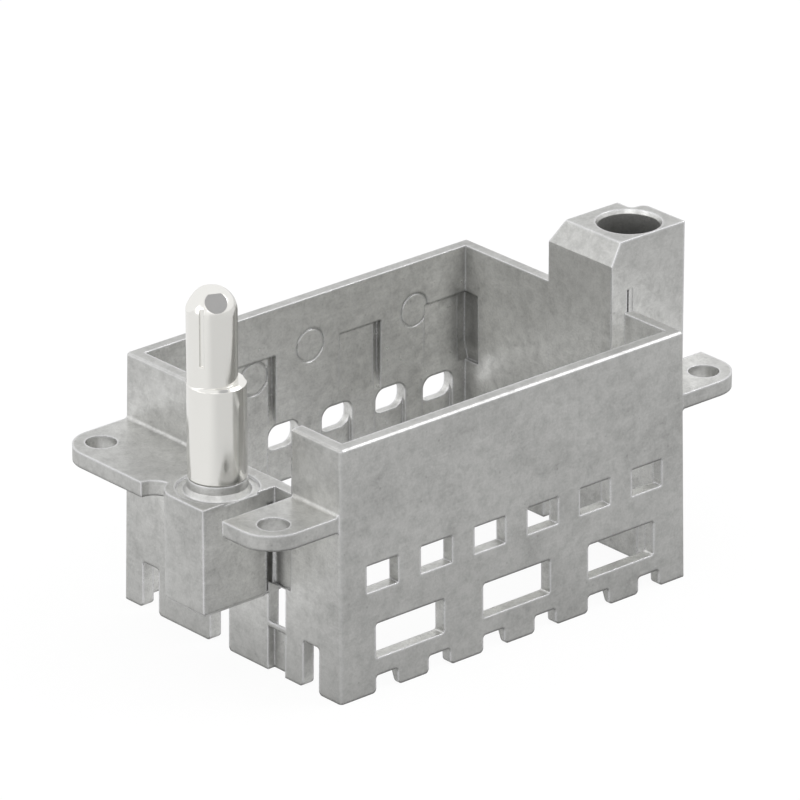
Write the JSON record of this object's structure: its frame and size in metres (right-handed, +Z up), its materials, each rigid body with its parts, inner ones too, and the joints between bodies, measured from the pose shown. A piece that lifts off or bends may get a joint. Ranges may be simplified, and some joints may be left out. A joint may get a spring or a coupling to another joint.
{
  "type": "die cast connector docking frame",
  "caption": "Open cast metal frame with windowed side walls, fixing ears, a guide bore tower and a turned guide pin that locate a mating frame.",
  "frame": {"origin": "centre of the frame in plan, at the height of the feet", "axes": "+X along the length from the pin end to the tower end, +Y from the front wall to the back wall, +Z up from the feet to the rim"},
  "size_m": [0.0662, 0.0348, 0.0424],
  "materials": {
    "cast_metal": "as cast, satin grey zinc alloy",
    "bright_steel": "turned and bright plated"
  },
  "bodies": {
    "root": {"frame_casting": "cast_metal", "guide_pin": "bright_steel"}
  },
  "joints": []
}
